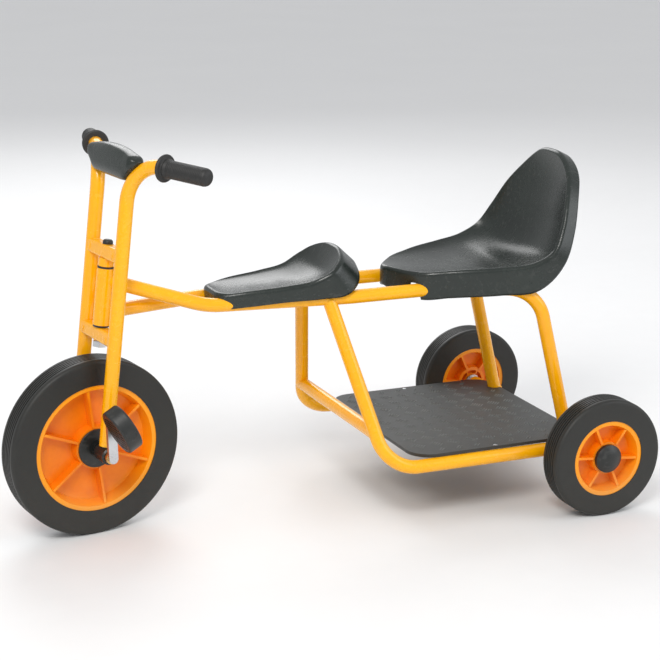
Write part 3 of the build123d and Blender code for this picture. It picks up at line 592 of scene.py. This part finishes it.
def ribbed_grip(side, sign):
    """A grip turned about the bar: a round-edged flange, a collar, fine rings on the
    sleeve as a raised cosine along it, and a domed end."""
    direction = np.array([np.sin(bar_sweep), sign * np.cos(bar_sweep), 0.0])
    start = np.array([0.0, sign * fork_half, bar_height]) + direction * (bar_bend + grip_start)
    tip = fork_points(start + direction)
    start = fork_points(start)
    turn = np.linspace(-np.pi / 2, np.pi / 2, 13)
    flange = np.stack([0.0035 + 0.0035 * np.sin(turn), 0.0202 + 0.0035 * np.cos(turn)], -1)
    sleeve_at = np.linspace(0.0075, grip_length - 0.006, 300)
    rings = 0.0006 * (0.5 + 0.5 * np.cos(sleeve_at * 2 * np.pi / 0.0036)) ** 0.6
    collar = 0.0016 * (1 / (1 + np.exp((sleeve_at - 0.0135) * 2500)))
    sleeve = np.stack([sleeve_at, grip_radius + rings + collar], -1)
    dome_turn = np.linspace(0, np.pi / 2, 14)
    dome = np.stack(
        [grip_length - 0.006 + 0.008 * np.sin(dome_turn), grip_radius * np.cos(dome_turn) ** 0.7], -1
    )
    profile = np.concatenate([[(0.0, bar_radius)], flange, sleeve, dome])
    piece = turned_ring(
        f"{side}_grip_sleeve", profile, start, tip - start, grip_rubber, "fork", sides=72
    )
    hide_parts(f"{side}_grip")


ribbed_grip("left", -1)
ribbed_grip("right", 1)

# ------------------------------------------------------------ handlebar pad
pad_reach = 0.086
pad_foot = 0.477
pad_crest = 0.532
pad_half_depth = 0.0172
pad_end_rounding = 0.014
bend_centre_across = 0.1287
bend_centre_up = 0.4402


def handlebar_pad():
    """The pad across the fork as a loop carried from side to side. Its foot is level in the
    middle and then follows the circle of the tube's bend; its crest falls off as the square
    of the distance from the middle. The loop is a superellipse that closes at both ends as
    a quarter circle does."""
    turn = np.linspace(0, np.pi / 2, 16)
    end = pad_reach - pad_end_rounding * (1 - np.sin(turn))
    middle = np.linspace(-(pad_reach - pad_end_rounding), pad_reach - pad_end_rounding, 60)
    across = np.concatenate([-end[::-1], middle[1:-1], end])
    past = np.maximum(np.abs(across) - (pad_reach - pad_end_rounding), 0) / pad_end_rounding
    close = np.sqrt(np.maximum(1 - past**2, 0))
    tube_edge = 0.0845**2 - (bend_centre_across - np.abs(across)) ** 2
    hug = bend_centre_up + np.sqrt(np.maximum(tube_edge, 0)) - 0.009
    foot = 0.5 * (hug + pad_foot + np.sqrt((hug - pad_foot) ** 2 + 0.006**2))
    foot = np.where(tube_edge > 0, foot, pad_foot)
    crest = pad_crest - 0.012 * (across / pad_reach) ** 2
    centre_up, half_up = (crest + foot) / 2, (crest - foot) / 2 * close
    half_deep = pad_half_depth * (1 - 0.12 * (across / pad_reach) ** 2) * close
    round_angle = np.linspace(0, 2 * np.pi, 64, endpoint=False)
    square = 2 / 3.0
    shape_x = np.sign(np.cos(round_angle)) * np.abs(np.cos(round_angle)) ** square
    shape_z = np.sign(np.sin(round_angle)) * np.abs(np.sin(round_angle)) ** square
    back = half_deep[:, None] * shape_x
    up = centre_up[:, None] + half_up[:, None] * shape_z
    sideways = np.broadcast_to(across[:, None], back.shape)
    points = fork_points(np.stack([back, sideways, up], -1).reshape(-1, 3))
    piece = new_piece(
        "handlebar_pad_cover", points, grid_faces(len(across), 64, True), seat_black, "fork"
    )
    close_seams(piece, 2e-5)
    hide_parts("handlebar_pad")


handlebar_pad()

# ------------------------------------------------------------ platform tread
tread_bar_length = 0.0185
tread_bar_width = 0.0022
tread_bar_height = 0.0013
tread_bar_sunk = 0.0002  # how far a bar's edge lies below the top of the board
tread_bar_foot = 0.0006
tread_block = 0.0255
tread_bars = 5
tread_margin = 0.016
tread_blocks_out = 14  # counted each way from the middle of the board, past its edges
bar_points_along = 7
bar_points_across = 5
corner_square = 0.05
corner_reach = 0.036
upright_inset = 0.012  # the uprights' places, ahead of the board's rear edge
upright_half = 0.138
upright_clear = 0.034
screw_back = 0.705  # the board screws' places, back from the front axle
screw_half = 0.188
screw_clear = 0.018


def platform_tread():
    """Raised bars on the board: blocks on a slanted grid, every other block holding a row
    of parallel bars. Each bar is one pillow of seven by five points, copied as an array: its
    height is one minus the sixth power of the share along, times one minus the fourth power
    of the share across."""
    low, high = (np.array(corner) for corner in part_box("platform_board"))
    blocks = np.arange(-tread_blocks_out, tread_blocks_out + 1)
    i, j, k = np.meshgrid(blocks, blocks, np.arange(tread_bars), indexing="ij")
    keep = (i + j) % 2 == 0
    i, j, k = i[keep], j[keep], k[keep]
    along = i * tread_block
    across = j * tread_block + (k - (tread_bars - 1) / 2) * tread_block / (tread_bars + 0.4)
    slant = np.pi / 4
    middle = (low + high) / 2
    x = middle[0] + along * np.cos(slant) - across * np.sin(slant)
    y = middle[1] + along * np.sin(slant) + across * np.cos(slant)
    inside = (x > low[0] + tread_margin) & (x < high[0] - tread_margin * 1.6)
    inside &= np.abs(y) < high[1] - tread_margin
    corner_x = np.maximum(np.abs(x - middle[0]) - (high[0] - low[0]) / 2 + corner_square, 0)
    corner_y = np.maximum(np.abs(y) - high[1] + corner_square, 0)
    inside &= np.hypot(corner_x, corner_y) < corner_reach
    from_upright = np.hypot(x - (high[0] - upright_inset), np.abs(y) - upright_half)
    from_screw = np.hypot(x - (screw_back + front_axle_offset), np.abs(y) - screw_half)
    inside &= (from_upright > upright_clear) & (from_screw > screw_clear)
    x, y = x[inside], y[inside]
    u, v = np.meshgrid(
        np.linspace(-1, 1, bar_points_along), np.linspace(-1, 1, bar_points_across), indexing="ij"
    )
    rise = (1 - np.abs(u) ** 6) * (1 - v**4)
    part_x = u * tread_bar_length / 2
    part_y = v * tread_bar_width / 2
    px = x[:, None, None] + part_x * np.cos(slant) - part_y * np.sin(slant)
    py = y[:, None, None] + part_x * np.sin(slant) + part_y * np.cos(slant)
    pz = np.broadcast_to(high[2] - tread_bar_sunk + rise * tread_bar_height, px.shape)
    points = np.stack([px, py, pz], -1).reshape(len(x), -1, 3)
    one = grid_faces(bar_points_along, bar_points_across, False)[:, ::-1]
    first_points = np.arange(len(x)) * (bar_points_along * bar_points_across)
    faces = (one[None] + first_points[:, None, None]).reshape(-1, 4)
    # The bars take the tread finish, whose lighter grey is a painted sheen.
    piece = new_piece("platform_tread_bars", points.reshape(-1, 3), faces, tread_painted_sheen, "frame")
    wall = piece.modifiers.new("foot", "SOLIDIFY")
    wall.thickness = tread_bar_foot
    wall.offset = -1.0


platform_tread()

# ------------------------------------------------------------ weld beads
weld_steps = 160
weld_sides = 10
weld_thickness = 0.0021
weld_ripple = 0.0005
weld_ripples = 26


def weld_bead(name, centre, axis, radius, body):
    """A weld round a tube: a small ring whose height ripples along it as a raised cosine."""
    axis = np.asarray(axis, float) / np.linalg.norm(axis)
    helper = np.array([0.0, 1.0, 0.0]) if abs(axis[1]) < 0.9 else np.array([1.0, 0.0, 0.0])
    first = np.cross(axis, helper)
    first /= np.linalg.norm(first)
    second = np.cross(axis, first)
    along = np.linspace(0, 2 * np.pi, weld_steps, endpoint=False)[:, None]
    turn = np.linspace(0, 2 * np.pi, weld_sides, endpoint=False)[None, :]
    thick = weld_thickness + weld_ripple * np.cos(along * weld_ripples)
    out = (radius + thick * np.cos(turn))[..., None]
    outward = (np.cos(along)[..., None] * first + np.sin(along)[..., None] * second)
    points = centre + outward * out + (thick * np.sin(turn))[..., None] * axis
    faces = grid_faces(weld_steps + 1, weld_sides, True) % (weld_steps * weld_sides)
    piece = new_piece(name, points.reshape(-1, 3), faces, paint, body)
    close_seams(piece)


for height, label in ((0.2, "lower"), (0.347, "upper")):
    for sign, side in ((-1, "left"), (1, "right")):
        spot = fork_points([0.0, sign * (fork_half - 0.0128), height])
        weld_bead(f"{side}_{label}_crown_weld", spot, wheel_across, 0.0118, "fork")
rear_axle_middle = (rear_axles["left"] + rear_axles["right"]) / 2
for sign, side in ((-1, "left"), (1, "right")):
    foot = rear_axle_middle + np.array([-0.0135, sign * 0.196, 0.0])
    weld_bead(f"{side}_lower_rail_weld", foot, (1.0, 0.0, 0.0), 0.0126, "frame")
    upright = rear_axle_middle + np.array([-0.0035, sign * 0.1378, 0.0138])
    weld_bead(f"{side}_upright_weld", upright, (-0.25, 0.0, 1.0), 0.0128, "frame")

# ------------------------------------------------------------ studio
def soft_light(name, place, target, size, power, colour):
    """A large soft lamp aimed at a point."""
    lamp = bpy.data.lights.new(name, "AREA")
    lamp.shape = "DISK"
    lamp.size = size
    lamp.energy = power
    lamp.color = colour
    holder = bpy.data.objects.new(name, lamp)
    bpy.context.scene.collection.objects.link(holder)
    holder.location = place
    holder.rotation_euler = (Vector(target) - Vector(place)).to_track_quat("-Z", "Y").to_euler()


def pale_floor():
    """A plain pale floor with faint mottling."""
    finish = Finish("pale_floor", (0.84, 0.84, 0.84), (0.86, 0.86, 0.86), (0.6, 0.7), drift=1.5)
    material = finish.done()
    size = 30.0
    mesh = bpy.data.meshes.new("floor")
    mesh.from_pydata(
        [(-size, -size, 0), (size, -size, 0), (size, size, 0), (-size, size, 0)], [], [(0, 1, 2, 3)]
    )
    mesh.materials.append(material)
    floor = bpy.data.objects.new("floor", mesh)
    bpy.context.scene.collection.objects.link(floor)


def pale_world():
    """An even pale surround."""
    world = bpy.data.worlds.new("surround")
    world.use_nodes = True
    backdrop = world.node_tree.nodes["Background"]
    backdrop.inputs["Color"].default_value = (0.97, 0.98, 1.0, 1.0)
    backdrop.inputs["Strength"].default_value = 0.68
    bpy.context.scene.world = world
    bpy.context.scene.view_settings.view_transform = "Standard"


def camera():
    """The camera, with the slight roll of a hand-held view."""
    data = bpy.data.cameras.new("camera")
    data.lens = 98.4
    data.sensor_width = 36.0
    data.clip_end = 100.0
    eye = Vector((-0.842 + front_axle_offset, -2.912, 1.188))
    target = Vector((0.456 + front_axle_offset, 0.0, 0.32286))
    forward = (target - eye).normalized()
    right = forward.cross(Vector((0, 0, 1))).normalized()
    up = right.cross(forward)
    roll = np.radians(0.7)
    level_right = right * np.cos(roll) + up * np.sin(roll)
    level_up = up * np.cos(roll) - right * np.sin(roll)
    holder = bpy.data.objects.new("camera", data)
    bpy.context.scene.collection.objects.link(holder)
    turned = Matrix((level_right, level_up, -forward)).transposed().to_4x4()
    holder.matrix_world = Matrix.Translation(eye) @ turned
    bpy.context.scene.camera = holder


pale_floor()
pale_world()
camera()
centre = (0.0, 0.0, 0.3)
soft_light("key_light", (-1.8, -2.6, 3.2), centre, 1.6, 92.0, (1.0, 0.98, 0.95))
soft_light("fill_light", (2.8, -2.2, 1.8), centre, 2.4, 30.0, (0.94, 0.97, 1.0))
soft_light("back_light", (0.6, 3.0, 2.6), centre, 2.4, 48.0, (1.0, 1.0, 1.0))
